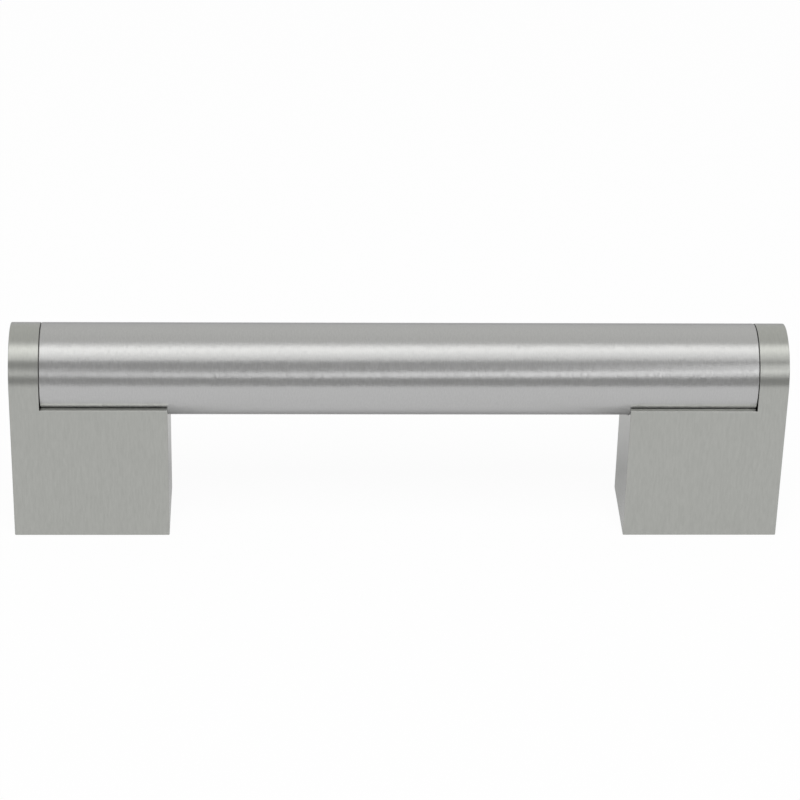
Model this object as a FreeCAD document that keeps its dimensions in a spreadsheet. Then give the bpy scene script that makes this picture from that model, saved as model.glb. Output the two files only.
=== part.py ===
"""Cabinet pull: a round steel tube held between two die-cast feet.

Each foot is one casting: a block leg that stands on the drawer front, an end wall with a
full-round top that closes the end of the tube, a seat that the tube lies in, and a spigot
that plugs its bore. The leg is cored from below on both sides of its screw hole. Both feet
are the same casting, turned to face each other.

Millimetres. X runs along the bar, Z stands off the drawer front, and the origin is the middle
of the pull on its mounting plane.
"""
import FreeCAD
import Part
import math
import os
import Sketcher

V = FreeCAD.Vector
NEAR = 1e-4     # two places closer than this are the same

SIZES = {
    # the pull as a whole
    "hole_spacing": 96.0,      # between the two screw holes
    "bar_diameter": 14.3,      # outside of the tube, and the thickness of the feet
    "axis_height": 26.3,       # from the mounting plane to the axis of the bar
    # the tube
    "tube_wall": 1.2,
    "tube_edge": 0.1,          # chamfer where the tube was cut and deburred
    # the foot
    "foot_length": 24.3,       # along the bar
    "end_wall": 4.6,           # thickness of the wall that closes the tube
    "ledge_drop": 3.5,         # from the axis of the bar down to the ledges beside the seat
    "edge_round": 0.15,        # outer edges of the casting
    "seam_round": 0.06,        # edges of the casting along the joint with the tube
    # how the tube sits in the feet
    "seat_gap": 0.06,          # between the tube and the seat
    "end_gap": 0.1,            # between the end of the tube and the end wall
    "spigot_gap": 0.1,         # between the spigot and the bore of the tube
    "spigot_length": 9.0,
    "spigot_lead": 1.0,        # chamfer that guides the spigot into the bore
    # the screw hole and the cored pockets beside it
    "screw_depth": 13.0,
    "screw_mouth": 4.8,        # countersink at the mounting face
    "web_half": 4.2,           # from the screw axis to each pocket
    "core_wall": 2.2,          # wall outside each pocket
    "core_depth": 12.0,
    "core_corner": 1.0,
    "core_draft": 1.5,         # degrees
}


def make_sheet(doc):
    """The driving dimensions, one row each: name, then value."""
    sheet = doc.addObject("Spreadsheet::Sheet", "Sizes")
    for row, (name, value) in enumerate(SIZES.items(), start=1):
        sheet.set(f"A{row}", name)
        sheet.set(f"B{row}", str(value))
        sheet.setAlias(f"B{row}", name)
    doc.recompute()
    return sheet


def origin_plane(body, role):
    return next(f for f in body.Origin.OriginFeatures if f.Role == role), [""]


def new_sketch(body, name, role, offset=None):
    """An empty sketch on one of the body's origin planes, moved along its normal by offset."""
    sketch = body.newObject("Sketcher::SketchObject", name)
    sketch.AttachmentSupport = origin_plane(body, role)
    sketch.MapMode = "FlatFace"
    if offset:
        sketch.setExpression("AttachmentOffset.Base.z", offset)
    return sketch


def bind(sketch, name, expression, kind, *places):
    """A named dimension of the sketch, tied to the sheet."""
    value = sketch.evalExpression(expression)
    index = sketch.addConstraint(Sketcher.Constraint(kind, *places, value))
    sketch.renameConstraint(index, name)
    sketch.setExpression(f"Constraints.{name}", expression)


def circle(sketch, name, radius, height=None):
    """A circle on the sketch's upright axis, at its origin or raised by height."""
    middle = sketch.evalExpression(height) if height else 0.0
    size = sketch.evalExpression(radius)
    ring = sketch.addGeometry(Part.Circle(V(0, middle, 0), V(0, 0, 1), size), False)
    sketch.addConstraint(Sketcher.Constraint("PointOnObject", ring, 3, -2))
    if height:
        bind(sketch, f"{name}_height", height, "DistanceY", -1, 1, ring, 3)
    else:
        sketch.addConstraint(Sketcher.Constraint("PointOnObject", ring, 3, -1))
    bind(sketch, f"{name}_radius", radius, "Radius", ring)


def pad(body, sketch, name, length, symmetric=False):
    """The sketch pushed along its normal, to one side or half to each."""
    feature = body.newObject("PartDesign::Pad", name)
    feature.Profile = sketch
    feature.SideType = "Symmetric" if symmetric else "One side"
    feature.setExpression("Length", length)
    body.Document.recompute()
    return feature


def edges_where(shape, test):
    """Names of the edges whose every sampled point passes the test."""
    names = []
    for number, edge in enumerate(shape.Edges, start=1):
        if not edge.Degenerated and all(test(point) for point in edge.discretize(5)):
            names.append(f"Edge{number}")
    return names


def break_edges(body, base, name, kind, size, test):
    """A fillet or chamfer on the edges of the base feature that pass the test."""
    feature = body.newObject(kind, name)
    feature.Base = (base, edges_where(base.Shape, test))
    feature.setExpression("Radius" if kind == "PartDesign::Fillet" else "Size", size)
    body.Document.recompute()
    return feature


def make_tube(doc):
    """The grip: a straight tube, cut square and deburred inside and out."""
    body = doc.addObject("PartDesign::Body", "bar_tube")
    section = new_sketch(body, "tube_section", "YZ_Plane")
    circle(section, "outside", "Sizes.bar_diameter / 2")
    circle(section, "bore", "Sizes.bar_diameter / 2 - Sizes.tube_wall")
    tube = pad(body, section, "tube", "Sizes.hole_spacing + Sizes.foot_length"
               " - 2 * (Sizes.end_wall + Sizes.end_gap)", symmetric=True)
    half = tube.Length.Value / 2
    break_edges(body, tube, "cut_ends", "PartDesign::Chamfer", "Sizes.tube_edge",
                lambda p: abs(abs(p.x) - half) < NEAR)
    body.setExpression("Placement.Base.z", "Sizes.axis_height")
    return body


def end_wall_outline(sketch):
    """An upright slab with a half-round top of the bar's own radius, seen along the bar."""
    side = sketch.evalExpression("Sizes.bar_diameter / 2")
    top = sketch.evalExpression("Sizes.axis_height")
    foot, right, left = sketch.addGeometry([
        Part.LineSegment(V(-side, 0, 0), V(side, 0, 0)),
        Part.LineSegment(V(side, 0, 0), V(side, top, 0)),
        Part.LineSegment(V(-side, top, 0), V(-side, 0, 0))], False)
    arch = sketch.addGeometry(Part.ArcOfCircle(
        Part.Circle(V(0, top, 0), V(0, 0, 1), side), 0, math.pi), False)
    for rule in (("Coincident", foot, 2, right, 1), ("Coincident", left, 2, foot, 1),
                 ("Tangent", right, 2, arch, 1), ("Tangent", arch, 2, left, 1),
                 ("Horizontal", foot), ("Vertical", right),
                 ("PointOnObject", foot, 1, -1), ("PointOnObject", arch, 3, -2)):
        sketch.addConstraint(Sketcher.Constraint(*rule))
    bind(sketch, "arch_radius", "Sizes.bar_diameter / 2", "Radius", arch)
    bind(sketch, "arch_height", "Sizes.axis_height", "DistanceY", -1, 1, arch, 3)


def leg_outline(sketch):
    """A block whose top is a round seat for the bar between two level ledges."""
    side = sketch.evalExpression("Sizes.bar_diameter / 2")
    seat = sketch.evalExpression("Sizes.bar_diameter / 2 + Sizes.seat_gap")
    drop = sketch.evalExpression("Sizes.ledge_drop")
    axis = sketch.evalExpression("Sizes.axis_height")
    lip = math.sqrt(seat ** 2 - drop ** 2)
    ledge = axis - drop
    slope = math.asin(drop / seat)
    foot, right, right_ledge, left_ledge, left = sketch.addGeometry([
        Part.LineSegment(V(-side, 0, 0), V(side, 0, 0)),
        Part.LineSegment(V(side, 0, 0), V(side, ledge, 0)),
        Part.LineSegment(V(side, ledge, 0), V(lip, ledge, 0)),
        Part.LineSegment(V(-lip, ledge, 0), V(-side, ledge, 0)),
        Part.LineSegment(V(-side, ledge, 0), V(-side, 0, 0))], False)
    saddle = sketch.addGeometry(Part.ArcOfCircle(
        Part.Circle(V(0, axis, 0), V(0, 0, 1), seat), math.pi + slope, 2 * math.pi - slope), False)
    for rule in (("Coincident", foot, 2, right, 1), ("Coincident", right, 2, right_ledge, 1),
                 ("Coincident", right_ledge, 2, saddle, 2), ("Coincident", saddle, 1, left_ledge, 1),
                 ("Coincident", left_ledge, 2, left, 1), ("Coincident", left, 2, foot, 1),
                 ("Horizontal", foot), ("Vertical", right), ("Vertical", left),
                 ("Horizontal", right_ledge), ("Horizontal", left_ledge),
                 ("Symmetric", foot, 1, foot, 2, -1, 1), ("PointOnObject", saddle, 3, -2)):
        sketch.addConstraint(Sketcher.Constraint(*rule))
    bind(sketch, "thickness", "Sizes.bar_diameter", "DistanceX", foot, 1, foot, 2)
    bind(sketch, "seat_radius", "Sizes.bar_diameter / 2 + Sizes.seat_gap", "Radius", saddle)
    bind(sketch, "seat_height", "Sizes.axis_height", "DistanceY", -1, 1, saddle, 3)
    bind(sketch, "ledge_height", "Sizes.axis_height - Sizes.ledge_drop", "DistanceY", right)


def pocket_outline(sketch):
    """A rectangle with round corners between the screw's web and the leg's inboard wall."""
    near = sketch.evalExpression("Sizes.web_half")
    far = sketch.evalExpression("Sizes.foot_length / 2 - Sizes.core_wall")
    side = sketch.evalExpression("Sizes.bar_diameter / 2 - Sizes.core_wall")
    bend = sketch.evalExpression("Sizes.core_corner")
    corners = ((far, side, 0), (near, side, 1), (near, -side, 2), (far, -side, 3))
    arcs = []
    for x, y, quarter in corners:
        middle = V(x - math.copysign(bend, x - (near + far) / 2), y - math.copysign(bend, y), 0)
        start = quarter * math.pi / 2
        arcs.append(sketch.addGeometry(Part.ArcOfCircle(
            Part.Circle(middle, V(0, 0, 1), bend), start, start + math.pi / 2), False))
    lines = []
    for one, other in zip(arcs, arcs[1:] + arcs[:1]):
        start = sketch.getPoint(one, 2)
        end = sketch.getPoint(other, 1)
        line = sketch.addGeometry(Part.LineSegment(start, end), False)
        sketch.addConstraint(Sketcher.Constraint("Tangent", one, 2, line, 1))
        sketch.addConstraint(Sketcher.Constraint("Tangent", line, 2, other, 1))
        lines.append(line)
    for one in arcs[1:]:
        sketch.addConstraint(Sketcher.Constraint("Equal", arcs[0], one))
    top, web, bottom, wall = lines
    for rule in (("Horizontal", top), ("Horizontal", bottom), ("Vertical", wall),
                 ("Symmetric", web, 1, web, 2, -1)):
        sketch.addConstraint(Sketcher.Constraint(*rule))
    bind(sketch, "corner", "Sizes.core_corner", "Radius", arcs[0])
    bind(sketch, "web", "Sizes.web_half", "DistanceX", -1, 1, web, 1)
    bind(sketch, "reach", "Sizes.foot_length / 2 - Sizes.core_wall", "DistanceX", -1, 1, wall, 1)
    bind(sketch, "breadth", "Sizes.bar_diameter - 2 * Sizes.core_wall", "DistanceY", bottom, 1, top, 1)


def core_out(body):
    """Two drafted pockets in the mounting face, one on each side of the screw hole."""
    before = body.Tip.Shape.Volume
    outline = new_sketch(body, "pocket_outline", "XY_Plane")
    pocket_outline(outline)
    pocket = body.newObject("PartDesign::Pocket", "inboard_pocket")
    pocket.Profile = outline
    pocket.Reversed = True
    pocket.setExpression("Length", "Sizes.core_depth")
    pocket.setExpression("TaperAngle", "-Sizes.core_draft")
    body.Document.recompute()
    one = before - pocket.Shape.Volume
    pair = body.newObject("PartDesign::Mirrored", "pocket_pair")
    pair.Originals = [pocket]
    pair.MirrorPlane = origin_plane(body, "YZ_Plane")
    body.Tip = pair
    body.Document.recompute()
    both = before - pair.Shape.Volume
    if one <= 0 or abs(both - 2 * one) > NEAR * one:
        raise ValueError("the pockets of the foot didn't cut")


def drill_screw_hole(body):
    """A blind hole tapped M4 with a small countersink, up from the mounting face."""
    before = body.Tip.Shape.Volume
    mouth = new_sketch(body, "screw_place", "XY_Plane")
    circle(mouth, "mouth", "Sizes.screw_mouth / 2")
    hole = body.newObject("PartDesign::Hole", "screw_hole")
    hole.Profile = mouth
    hole.Reversed = True
    hole.DepthType = "Dimension"
    hole.Threaded = True
    hole.ThreadType = "ISOMetricProfile"
    hole.ThreadSize = "M4x0.7"
    hole.DrillPoint = "Angled"
    hole.HoleCutType = "Countersink"
    hole.HoleCutCustomValues = True
    hole.HoleCutCountersinkAngle = 90
    hole.setExpression("Depth", "Sizes.screw_depth")
    hole.setExpression("HoleCutDiameter", "Sizes.screw_mouth")
    body.Document.recompute()
    if hole.Shape.Volume >= before:
        raise ValueError("the screw hole didn't cut")


def make_foot(doc, name):
    """One casting, with its screw hole on Z and the bar going off towards +X."""
    body = doc.addObject("PartDesign::Body", name)
    outboard = "-Sizes.foot_length / 2"
    inner_face = "Sizes.end_wall - Sizes.foot_length / 2"
    slab = new_sketch(body, "end_wall_outline", "YZ_Plane", outboard)
    end_wall_outline(slab)
    pad(body, slab, "end_wall", "Sizes.end_wall")
    block = new_sketch(body, "leg_outline", "YZ_Plane", inner_face)
    leg_outline(block)
    leg = pad(body, block, "leg", "Sizes.foot_length - Sizes.end_wall")

    half_length = leg.evalExpression("Sizes.foot_length / 2")
    half_width = leg.evalExpression("Sizes.bar_diameter / 2")
    seat = leg.evalExpression("Sizes.bar_diameter / 2 + Sizes.seat_gap")
    axis = leg.evalExpression("Sizes.axis_height")
    ledge = leg.evalExpression("Sizes.axis_height - Sizes.ledge_drop")
    wall_face = leg.evalExpression(inner_face)

    def on_side(p):
        """On the flat front or back, or on the half-round top."""
        if p.z < axis:
            return abs(abs(p.y) - half_width) < NEAR
        return abs(math.hypot(p.y, p.z - axis) - half_width) < NEAR

    def on_end(p):
        return abs(abs(p.x) - half_length) < NEAR

    def on_base(p):
        return abs(p.z) < NEAR

    def on_ledge(p):
        return abs(p.z - ledge) < NEAR

    def on_seat(p):
        return abs(math.hypot(p.y, p.z - axis) - seat) < NEAR

    def at_wall(p):
        return abs(p.x - wall_face) < NEAR and p.z > ledge - NEAR

    outer = break_edges(body, leg, "outer_edges", "PartDesign::Fillet", "Sizes.edge_round",
                        lambda p: on_side(p) + on_end(p) + on_base(p) >= 2)
    break_edges(body, outer, "seam_edges", "PartDesign::Fillet", "Sizes.seam_round",
                lambda p: on_side(p) and (at_wall(p) or on_ledge(p))
                or on_end(p) and (on_ledge(p) or on_seat(p)))

    end = new_sketch(body, "spigot_section", "YZ_Plane", inner_face)
    circle(end, "spigot", "Sizes.bar_diameter / 2 - Sizes.tube_wall - Sizes.spigot_gap",
           "Sizes.axis_height")
    spigot = pad(body, end, "spigot", "Sizes.spigot_length")
    tip = wall_face + spigot.Length.Value
    break_edges(body, spigot, "spigot_lead", "PartDesign::Chamfer", "Sizes.spigot_lead",
                lambda p: abs(p.x - tip) < NEAR and math.hypot(p.y, p.z - axis) < half_width)
    core_out(body)
    drill_screw_hole(body)
    return body


def check(doc, bodies):
    """Stop if a feature failed or a piece isn't one sound solid."""
    doc.recompute()
    failed = [obj.Name for obj in doc.Objects if {"Invalid", "Error"} & set(obj.State)]
    if failed:
        raise ValueError(f"failed features: {failed}")
    for body in bodies:
        shape = body.Shape
        if shape.isNull() or not shape.isValid() or len(shape.Solids) != 1:
            raise ValueError(f"{body.Label} isn't one sound solid")
        print(f"{body.Label}: {shape.Volume / 1000:.2f} cm3, {len(shape.Faces)} faces")


doc = FreeCAD.newDocument("cabinet_pull")
make_sheet(doc)
tube = make_tube(doc)
feet = []
for name, side, turn in (("left_foot", -1, 0), ("right_foot", 1, 180)):
    foot = make_foot(doc, name)
    foot.Placement.Rotation = FreeCAD.Rotation(V(0, 0, 1), turn)
    foot.setExpression("Placement.Base.x", f"{side} * Sizes.hole_spacing / 2")
    feet.append(foot)
pieces = [tube, *feet]
check(doc, pieces)
os.makedirs("parts", exist_ok=True)
for piece in pieces:
    piece.Shape.exportStep(f"parts/{piece.Label}.step")
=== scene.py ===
import math

import bpy
import numpy as np
from mathutils import Matrix

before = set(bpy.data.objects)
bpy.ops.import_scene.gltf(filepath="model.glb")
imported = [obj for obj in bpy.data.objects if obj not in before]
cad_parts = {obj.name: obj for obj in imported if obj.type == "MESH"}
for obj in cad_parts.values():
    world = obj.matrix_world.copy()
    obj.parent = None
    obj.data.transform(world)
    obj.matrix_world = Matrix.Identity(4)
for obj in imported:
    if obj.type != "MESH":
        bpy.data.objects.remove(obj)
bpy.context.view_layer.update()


# The grip: a length of round stainless steel tube, 14.3 mm across. It was turned against an
# abrasive belt, so its fine scratches run round it, and then cut square and deburred. It is
# bonded on the spigots of the two feet.

def linear(colour):
    """A colour written as sRGB hex, as the linear red, green, blue and alpha of a shader."""
    parts = np.array([int(colour[i:i + 2], 16) for i in (1, 3, 5)]) / 255
    parts = np.where(parts <= 0.04045, parts / 12.92, ((parts + 0.055) / 1.055) ** 2.4)
    return (*parts, 1.0)


def add_node(tree, kind, settings, inputs):
    """One node with its settings and its inputs, each of them a value or another node's output."""
    node = tree.nodes.new(kind)
    for name, value in settings.items():
        setattr(node, name, value)
    for name, value in inputs.items():
        if isinstance(value, bpy.types.NodeSocket):
            tree.links.new(value, node.inputs[name])
        else:
            node.inputs[name].default_value = value
    return node


# Stainless steel, ground with a fine belt. It gives soft bands of light along the tube, and the
# narrow one sparkles, because the scratches differ in slope and in polish. The rougher ones are a
# little lighter, so that the plain areas stay even. Real scratches are 0.02 mm wide, and these
# are about 0.25 mm, so that they show.
brushed_stainless_steel = bpy.data.materials.new("brushed_stainless_steel")
brushed_stainless_steel.use_nodes = True
tree = brushed_stainless_steel.node_tree
tree.nodes.clear()
place = add_node(tree, "ShaderNodeTexCoord", {}, {})

# How many to a metre, along the tube and then both ways across it.
belt_scratches = (4500.0, 1400.0, 1400.0)
belt_waves = (600.0, 250.0, 250.0)
scratch_lay = add_node(tree, "ShaderNodeMapping", {}, {
    "Vector": place.outputs["Object"], "Scale": belt_scratches})
scratch = add_node(tree, "ShaderNodeTexNoise", {}, {
    "Vector": scratch_lay.outputs["Vector"], "Scale": 1.0, "Detail": 2.0, "Roughness": 0.6})
wave_lay = add_node(tree, "ShaderNodeMapping", {}, {
    "Vector": place.outputs["Object"], "Scale": belt_waves})
wave = add_node(tree, "ShaderNodeTexNoise", {}, {
    "Vector": wave_lay.outputs["Vector"], "Scale": 1.0, "Detail": 2.0, "Roughness": 0.5})

# The noise runs from the smoothest scratch to the roughest one between the first two values, and
# the roughness between the other two. It starts at 0.28, so that a render stays free of specks.
smoothest = 0.4
roughest = 0.7
smooth_finish = 0.28
rough_finish = 0.45
tint = add_node(tree, "ShaderNodeValToRGB", {}, {"Fac": scratch.outputs["Fac"]})
tint.color_ramp.elements[0].position = smoothest
tint.color_ramp.elements[0].color = linear("#BABABA")
tint.color_ramp.elements[1].position = roughest
tint.color_ramp.elements[1].color = linear("#C4C4C4")
polish = add_node(tree, "ShaderNodeMapRange", {}, {
    "Value": scratch.outputs["Fac"], "From Min": smoothest, "From Max": roughest,
    "To Min": smooth_finish, "To Max": rough_finish})

wave_depth = 0.00002
scratch_depth = 0.000022
ripple = add_node(tree, "ShaderNodeBump", {}, {
    "Height": wave.outputs["Fac"], "Strength": 1.0, "Distance": wave_depth})
relief = add_node(tree, "ShaderNodeBump", {}, {
    "Height": scratch.outputs["Fac"], "Strength": 1.0, "Distance": scratch_depth,
    "Normal": ripple.outputs["Normal"]})

# The reflections spread along the tube, at right angles to the scratches. The small part in Y
# keeps the direction from vanishing on the square ends.
across = add_node(tree, "ShaderNodeCombineXYZ", {}, {"X": 1.0, "Y": 0.02, "Z": 0.0})
metal = add_node(tree, "ShaderNodeBsdfPrincipled", {}, {
    "Base Color": tint.outputs["Color"], "Metallic": 1.0, "Roughness": polish.outputs["Result"],
    "Normal": relief.outputs["Normal"], "Tangent": across.outputs["Vector"], "Anisotropic": 0.95,
    "Specular Tint": linear("#D0D0D0")})
add_node(tree, "ShaderNodeOutputMaterial", {}, {"Surface": metal.outputs["BSDF"]})
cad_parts["bar_tube"].material_slots[0].material = brushed_stainless_steel


# The feet: two like die castings in zinc alloy. Their outsides were brushed upright and the
# whole was plated with satin nickel. The tube rests in a seat milled in each of them, and each
# has cored pockets and a tapped M4 hole underneath.

# Satin nickel plate on brushed zinc: a warm grey, duller than the steel, with upright hairlines
# 0.25 mm wide, drawn coarser than the real 0.03 mm so that they show. The milled seat and its
# ledges are smoother. Their much lighter colour is partly their own milled finish and partly painted
# light, which lifts the shade where the ledges sit under the tube. The end faces are only smoother.
# The cored pockets are dull and grainy, as cast, with a grain of 0.5 mm for the real 0.1 mm.
satin_nickel_casting = bpy.data.materials.new("satin_nickel_casting")
satin_nickel_casting.use_nodes = True
tree = satin_nickel_casting.node_tree
tree.nodes.clear()
place = add_node(tree, "ShaderNodeTexCoord", {}, {})
spot = add_node(tree, "ShaderNodeSeparateXYZ", {}, {"Vector": place.outputs["Object"]})
facing = add_node(tree, "ShaderNodeSeparateXYZ", {}, {"Vector": place.outputs["Normal"]})

# The cored pockets of a foot lie in a box round the axis of its screw hole, above the mounting
# face. One box does for both feet, because it is measured from the nearer of the two holes.
hole_x = 0.048
pocket_half_length = 0.0103
pocket_half_width = 0.0053
pocket_mouth = 0.0002
pocket_roof = 0.0145
side = add_node(tree, "ShaderNodeMath", {"operation": "SIGN"}, {0: spot.outputs["X"]})
along = add_node(tree, "ShaderNodeMath", {"operation": "MULTIPLY_ADD"}, {
    0: side.outputs[0], 1: -hole_x, 2: spot.outputs["X"]})
apart = add_node(tree, "ShaderNodeMath", {"operation": "ABSOLUTE"}, {0: along.outputs[0]})
aside = add_node(tree, "ShaderNodeMath", {"operation": "ABSOLUTE"}, {0: spot.outputs["Y"]})
lengthways = add_node(tree, "ShaderNodeMath", {"operation": "LESS_THAN"}, {
    0: apart.outputs[0], 1: pocket_half_length})
crossways = add_node(tree, "ShaderNodeMath", {"operation": "LESS_THAN"}, {
    0: aside.outputs[0], 1: pocket_half_width})
above = add_node(tree, "ShaderNodeMath", {"operation": "GREATER_THAN"}, {
    0: spot.outputs["Z"], 1: pocket_mouth})
under = add_node(tree, "ShaderNodeMath", {"operation": "LESS_THAN"}, {
    0: spot.outputs["Z"], 1: pocket_roof})
inside = add_node(tree, "ShaderNodeMath", {"operation": "MULTIPLY"}, {
    0: lengthways.outputs[0], 1: crossways.outputs[0]})
height = add_node(tree, "ShaderNodeMath", {"operation": "MULTIPLY"}, {
    0: above.outputs[0], 1: under.outputs[0]})
cored = add_node(tree, "ShaderNodeMath", {"operation": "MULTIPLY"}, {
    0: inside.outputs[0], 1: height.outputs[0]})

# The milled seat and its ledges, whose light colour is partly painted light, are what faces
# upwards below the bar's axis, and the end faces are what faces along the bar.
least_upward = 0.3
seat_top = 0.026
least_sideways = 0.7
upward = add_node(tree, "ShaderNodeMath", {"operation": "GREATER_THAN"}, {
    0: facing.outputs["Z"], 1: least_upward})
lower = add_node(tree, "ShaderNodeMath", {"operation": "LESS_THAN"}, {
    0: spot.outputs["Z"], 1: seat_top})
milled_seat_painted_light = add_node(tree, "ShaderNodeMath", {"operation": "MULTIPLY"}, {
    0: upward.outputs[0], 1: lower.outputs[0]})
sideways = add_node(tree, "ShaderNodeMath", {"operation": "ABSOLUTE"}, {0: facing.outputs["X"]})
end_face = add_node(tree, "ShaderNodeMath", {"operation": "GREATER_THAN"}, {
    0: sideways.outputs[0], 1: least_sideways})

# How many to a metre in X, Y and Z: hairlines on the faces along the bar, hairlines on the end
# faces, and the grain of the casting.
front_hairlines = (4000.0, 900.0, 600.0)
end_hairlines = (900.0, 4000.0, 600.0)
casting_grain = (1800.0, 1800.0, 1800.0)
front_lay = add_node(tree, "ShaderNodeMapping", {}, {
    "Vector": place.outputs["Object"], "Scale": front_hairlines})
front_scratch = add_node(tree, "ShaderNodeTexNoise", {}, {
    "Vector": front_lay.outputs["Vector"], "Scale": 1.0, "Detail": 2.0, "Roughness": 0.6})
end_lay = add_node(tree, "ShaderNodeMapping", {}, {
    "Vector": place.outputs["Object"], "Scale": end_hairlines})
end_scratch = add_node(tree, "ShaderNodeTexNoise", {}, {
    "Vector": end_lay.outputs["Vector"], "Scale": 1.0, "Detail": 2.0, "Roughness": 0.6})
scratch = add_node(tree, "ShaderNodeMix", {"data_type": "FLOAT"}, {
    "Factor": end_face.outputs[0], "A": front_scratch.outputs["Fac"],
    "B": end_scratch.outputs["Fac"]})
cast_lay = add_node(tree, "ShaderNodeMapping", {}, {
    "Vector": place.outputs["Object"], "Scale": casting_grain})
cast = add_node(tree, "ShaderNodeTexNoise", {}, {
    "Vector": cast_lay.outputs["Vector"], "Scale": 1.0, "Detail": 3.0, "Roughness": 0.6})

# The colours: plated and brushed, as cast, and milled. The milled colour is much lighter. It is
# partly the seat's own finish and partly painted light, which lifts the shade under the tube. The
# two noises run from dark to light between the values dark and light. A colour Mix has its sockets
# at these places.
dark = 0.3
light = 0.7
mix_share, mix_first, mix_second, mix_result = 0, 6, 7, 2
bright = add_node(tree, "ShaderNodeValToRGB", {}, {"Fac": scratch.outputs["Result"]})
bright.color_ramp.elements[0].position = dark
bright.color_ramp.elements[0].color = linear("#ACADA9")
bright.color_ramp.elements[1].position = light
bright.color_ramp.elements[1].color = linear("#B3B4B0")
dull = add_node(tree, "ShaderNodeValToRGB", {}, {"Fac": cast.outputs["Fac"]})
dull.color_ramp.elements[0].position = dark
dull.color_ramp.elements[0].color = linear("#8D8E8A")
dull.color_ramp.elements[1].position = light
dull.color_ramp.elements[1].color = linear("#A2A39E")
skins = add_node(tree, "ShaderNodeMix", {"data_type": "RGBA"}, {
    mix_share: cored.outputs[0], mix_first: bright.outputs["Color"],
    mix_second: dull.outputs["Color"]})
# Painted light: the milled seat and its ledges get the light colour, which brightens them where they
# sit in the shade under the tube.
tint = add_node(tree, "ShaderNodeMix", {"data_type": "RGBA"}, {
    mix_share: milled_seat_painted_light.outputs[0], mix_first: skins.outputs[mix_result],
    mix_second: linear("#D6D7D3")})

# The roughness of each finish.
brushed_finish = 0.34
milled_finish = 0.10
end_finish = 0.15
cored_finish = 0.7
outside = add_node(tree, "ShaderNodeMapRange", {}, {
    "Value": milled_seat_painted_light.outputs[0], "To Min": brushed_finish, "To Max": milled_finish})
ends = add_node(tree, "ShaderNodeMix", {"data_type": "FLOAT"}, {
    "Factor": end_face.outputs[0], "A": outside.outputs["Result"], "B": end_finish})
rough = add_node(tree, "ShaderNodeMix", {"data_type": "FLOAT"}, {
    "Factor": cored.outputs[0], "A": ends.outputs["Result"], "B": cored_finish})

hairline_depth = 0.00002
casting_depth = 0.0001
grain = add_node(tree, "ShaderNodeBump", {}, {
    "Height": scratch.outputs["Result"], "Strength": 1.0, "Distance": hairline_depth})
grit = add_node(tree, "ShaderNodeMath", {"operation": "MULTIPLY"}, {
    0: cast.outputs["Fac"], 1: cored.outputs[0]})
skin = add_node(tree, "ShaderNodeBump", {}, {
    "Height": grit.outputs[0], "Strength": 1.0, "Distance": casting_depth,
    "Normal": grain.outputs["Normal"]})

# The M4 thread in the screw hole: a wave that climbs one pitch in each turn round the hole's
# axis. It is only on the wall of the hole, which is less than the tapped radius from the axis.
thread_pitch = 0.0007
thread_depth = 0.00015
tapped_radius = 0.00175
bearing = add_node(tree, "ShaderNodeMath", {"operation": "ARCTAN2"}, {
    0: spot.outputs["Y"], 1: along.outputs[0]})
climb = add_node(tree, "ShaderNodeMath", {"operation": "MULTIPLY_ADD"}, {
    0: spot.outputs["Z"], 1: -2 * math.pi / thread_pitch, 2: bearing.outputs[0]})
turns = add_node(tree, "ShaderNodeMath", {"operation": "SINE"}, {0: climb.outputs[0]})
square = add_node(tree, "ShaderNodeMath", {"operation": "MULTIPLY"}, {
    0: along.outputs[0], 1: along.outputs[0]})
away = add_node(tree, "ShaderNodeMath", {"operation": "MULTIPLY_ADD"}, {
    0: spot.outputs["Y"], 1: spot.outputs["Y"], 2: square.outputs[0]})
tapped = add_node(tree, "ShaderNodeMath", {"operation": "LESS_THAN"}, {
    0: away.outputs[0], 1: tapped_radius ** 2})
thread = add_node(tree, "ShaderNodeMath", {"operation": "MULTIPLY"}, {
    0: turns.outputs[0], 1: tapped.outputs[0]})
relief = add_node(tree, "ShaderNodeBump", {}, {
    "Height": thread.outputs[0], "Strength": 1.0, "Distance": thread_depth,
    "Normal": skin.outputs["Normal"]})

# The hairlines run upright, so the reflections spread along the bar, as on the tube.
across = add_node(tree, "ShaderNodeCombineXYZ", {}, {"X": 1.0, "Y": 0.02, "Z": 0.0})
metal = add_node(tree, "ShaderNodeBsdfPrincipled", {}, {
    "Base Color": tint.outputs[mix_result], "Metallic": 1.0, "Roughness": rough.outputs["Result"],
    "Normal": relief.outputs["Normal"], "Tangent": across.outputs["Vector"], "Anisotropic": 0.9,
    "Specular Tint": linear("#DADADA")})
add_node(tree, "ShaderNodeOutputMaterial", {}, {"Surface": metal.outputs["BSDF"]})
for name in ("left_foot", "right_foot"):
    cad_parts[name].material_slots[0].material = satin_nickel_casting


# The floor: a wide sheet of matt white card that the pull stands on. In direct view it is as
# white as the studio behind it, but for a trace of the pull's own shadow.

def is_seen(tree, direct, mirrored):
    """How much of a white ground is its own plain white, by what sees it: one share for the
    camera and through glass, and one in a mirror. Other rays get 0."""
    path = add_node(tree, "ShaderNodeLightPath", {}, {})
    straight = add_node(tree, "ShaderNodeMath", {"operation": "MAXIMUM"}, {
        0: path.outputs["Is Camera Ray"], 1: path.outputs["Is Transmission Ray"]})
    first = add_node(tree, "ShaderNodeMath", {"operation": "MULTIPLY"}, {
        0: straight.outputs[0], 1: direct})
    return add_node(tree, "ShaderNodeMath", {"operation": "MULTIPLY_ADD", "use_clamp": True}, {
        0: path.outputs["Is Glossy Ray"], 1: mirrored, 2: first.outputs[0]}).outputs[0]


half_floor = 4
floor_corners = [(-half_floor, -half_floor, 0), (half_floor, -half_floor, 0),
                 (half_floor, half_floor, 0), (-half_floor, half_floor, 0)]
floor_mesh = bpy.data.meshes.new("floor")
floor_mesh.from_pydata(floor_corners, [], [(0, 1, 2, 3)])
floor = bpy.data.objects.new("floor", floor_mesh)
bpy.context.scene.collection.objects.link(floor)

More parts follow.
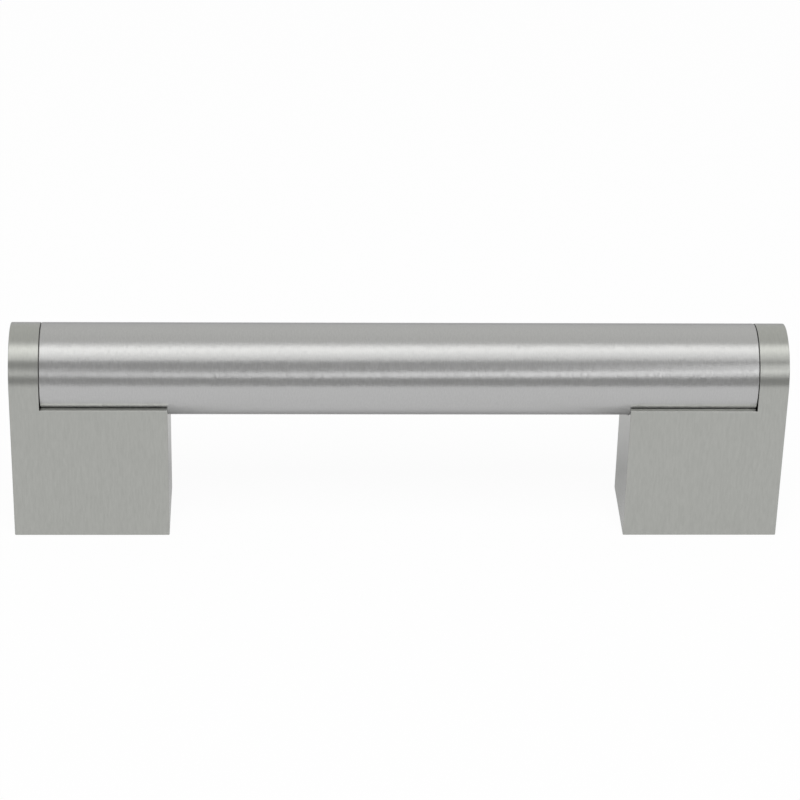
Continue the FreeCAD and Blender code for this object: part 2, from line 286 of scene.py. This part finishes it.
# Matt card: even and white, with no gloss. In view it is nearly all its own white. In the metal
# it is half that and half lit card, so that the shadow at the feet shows there.
white_in_view = 0.95
white_in_mirror = 0.5
matt_white_card = bpy.data.materials.new("matt_white_card")
matt_white_card.use_nodes = True
tree = matt_white_card.node_tree
tree.nodes.clear()
matt = add_node(tree, "ShaderNodeBsdfDiffuse", {}, {"Color": linear("#F3F3F3")})
white = add_node(tree, "ShaderNodeEmission", {}, {"Color": (1, 1, 1, 1), "Strength": 1.0})
both = add_node(tree, "ShaderNodeMixShader", {}, {
    0: is_seen(tree, white_in_view, white_in_mirror), 1: matt.outputs[0], 2: white.outputs[0]})
add_node(tree, "ShaderNodeOutputMaterial", {}, {"Surface": both.outputs[0]})
floor_mesh.materials.append(matt_white_card)


# The studio: lit cloths and cards round the pull, which give the metal its bands of light. A wide
# soft box hangs overhead and fades into a skirt in front. A narrow white strip stands close by,
# before a grey card, and a pale card is behind. A key lamp lights the floor, in a white room.

# Lit cloth: a plain glow with no gloss, as bright at each point as its panel says.
lit_cloth = bpy.data.materials.new("lit_cloth")
lit_cloth.use_nodes = True
tree = lit_cloth.node_tree
tree.nodes.clear()
shade = add_node(tree, "ShaderNodeAttribute", {"attribute_name": "light"}, {})
glow = add_node(tree, "ShaderNodeEmission", {}, {"Color": shade.outputs["Color"], "Strength": 1.0})
add_node(tree, "ShaderNodeOutputMaterial", {}, {"Surface": glow.outputs[0]})

bar_height = 0.0263


def panel(name, x, low, high, low_level, high_level, colour):
    """A panel facing the bar. At each place x along the bar it runs straight from its low edge to
    its high edge, each given as a distance from the bar's axis and an angle above the horizon in
    front, and its brightness fades evenly between them."""
    x = np.asarray(x, float)
    edges = []
    for distance, angle in (low, high):
        reach = np.broadcast_to(distance, x.shape)
        turn = np.radians(np.broadcast_to(angle, x.shape))
        edges.append(np.column_stack([x, -reach * np.cos(turn), bar_height + reach * np.sin(turn)]))
    points = np.concatenate(edges)
    first = np.arange(len(x) - 1)
    faces = np.column_stack([first, first + 1, first + 1 + len(x), first + len(x)])
    mesh = bpy.data.meshes.new(name)
    mesh.from_pydata(points.tolist(), [], faces.tolist())
    levels = np.concatenate([np.broadcast_to(level, x.shape) for level in (low_level, high_level)])
    lit = levels[:, None] * np.array(linear(colour))
    mesh.attributes.new("light", "FLOAT_COLOR", "POINT").data.foreach_set("color", lit.ravel())
    mesh.materials.append(lit_cloth)
    card = bpy.data.objects.new(name, mesh)
    bpy.context.scene.collection.objects.link(card)
    card.visible_camera = False
    card.visible_diffuse = False
    card.visible_shadow = False
    card.visible_transmission = False


# Places along the bar and distances from it are in metres, and edges in degrees above the horizon
# in front, so that 90 is straight above the bar. A level of 1 is white.
box_x = (-0.8, -0.02, 0.05, 0.12, 0.2, 0.8)
box_skirt = (52, 52, 56, 66, 72, 72)
box_foot = (70, 70, 73, 80, 84, 84)
box_middle = (80, 80, 81, 87, 90, 90)
box_top = (94, 94, 95, 101, 101, 99)
box_away = 0.55
skirt_level = 1.14
foot_level = 1.72
middle_level = 1.8
top_level = 0.9
panel("soft_box", box_x, (box_away, box_foot), (box_away, box_middle),
      foot_level, middle_level, "#FFFFFD")
panel("soft_box_top", box_x, (box_away, box_middle), (box_away, box_top),
      middle_level, top_level, "#FFFFFD")
panel("soft_box_skirt", box_x, (box_away, box_skirt), (box_away, box_foot),
      skirt_level, foot_level, "#FFFFFD")

grey_x = (-0.5, -0.066, -0.056, 0.02, 0.056, 0.08, 0.5)
grey_foot = (-9, -10, -15, -14, -13, -12, -12)
grey_foot_away = 0.088
grey_foot_level = 0.41
grey_top = (47, 47, 47, 48.5, 58, 48, 46)
grey_top_away = 0.115
grey_top_level = (0.49, 0.49, 0.48, 0.49, 0.38, 0.46, 0.49)
panel("grey_card", grey_x, (grey_foot_away, grey_foot), (grey_top_away, grey_top),
      grey_foot_level, grey_top_level, "#FFFFFE")

strip_x = (-0.3, -0.072, -0.053, -0.018, 0.018, 0.045, 0.06, 0.073, 0.3)
strip_foot = (15, 13, 6.9, 7.3, 8, 8.5, 10.5, 21, 23)
strip_top = (31, 29, 18.7, 18.4, 22.5, 24, 28, 43, 46)
strip_away = 0.08
strip_level = (1.06, 1.06, 1.12, 1.26, 1.4, 1.85, 1.85, 1.75, 1.75)
panel("white_strip", strip_x, (strip_away, strip_foot), (strip_away, strip_top),
      strip_level, strip_level, "#FFFFFF")

back_x = (-0.8, -0.1, 0.0, 0.8)
back_near = (0.5, 97)
back_far = (0.6, 172)
back_near_level = (0.72, 0.72, 0.76, 0.77)
back_far_level = (0.9, 0.9, 0.95, 0.95)
panel("back_card", back_x, back_near, back_far, back_near_level, back_far_level, "#FFFFFC")

# The key lamp is half a metre square. It hangs one metre from the middle of the floor, turned
# from straight above towards the front.
lamp_tilt = math.radians(25)
lamp_away = 1.0
key = bpy.data.lights.new("key_lamp", "AREA")
key.shape = "SQUARE"
key.size = 0.5
key.energy = 6.4
lamp = bpy.data.objects.new("key_lamp", key)
bpy.context.scene.collection.objects.link(lamp)
lamp.matrix_world = Matrix.Rotation(lamp_tilt, 4, "X") @ Matrix.Translation((0.0, 0.0, lamp_away))
lamp.visible_glossy = False

# The white room: plain white where it is seen, and dimmer as a light.
room_light = 0.4
room_white = 1.0
world = bpy.data.worlds.new("studio")
bpy.context.scene.world = world
world.use_nodes = True
tree = world.node_tree
tree.nodes.clear()
level = add_node(tree, "ShaderNodeMapRange", {}, {
    "Value": is_seen(tree, 1.0, 1.0), "To Min": room_light, "To Max": room_white})
sky = add_node(tree, "ShaderNodeBackground", {}, {
    "Color": (1, 1, 1, 1), "Strength": level.outputs[0]})
add_node(tree, "ShaderNodeOutputWorld", {}, {"Surface": sky.outputs[0]})


# The camera stands 43 cm in front of the pull and 27 cm above the floor, 2 cm left of the middle,
# and looks down at it through a long lens. The lens's axis is 12 pixels left of the middle of the
# photograph.

photo_width = 800
focal_pixels = 3172.4
axis_column = 388
eye = (-0.01956, -0.42784, 0.27354)
yaw, pitch, roll = np.radians((2.408, 30.569, 1.298))
lens = bpy.data.cameras.new("camera")
lens.sensor_width = 36.0
lens.lens = focal_pixels * lens.sensor_width / photo_width
lens.shift_x = (photo_width / 2 - axis_column) / photo_width
lens.clip_start = 0.01
lens.clip_end = 20.0
camera = bpy.data.objects.new("camera", lens)
camera.matrix_world = (Matrix.Translation(eye) @ Matrix.Rotation(-yaw, 4, "Z")
                       @ Matrix.Rotation(math.pi / 2 - pitch, 4, "X") @ Matrix.Rotation(roll, 4, "Z"))
bpy.context.scene.collection.objects.link(camera)
bpy.context.scene.camera = camera
bpy.context.scene.view_settings.view_transform = "Standard"
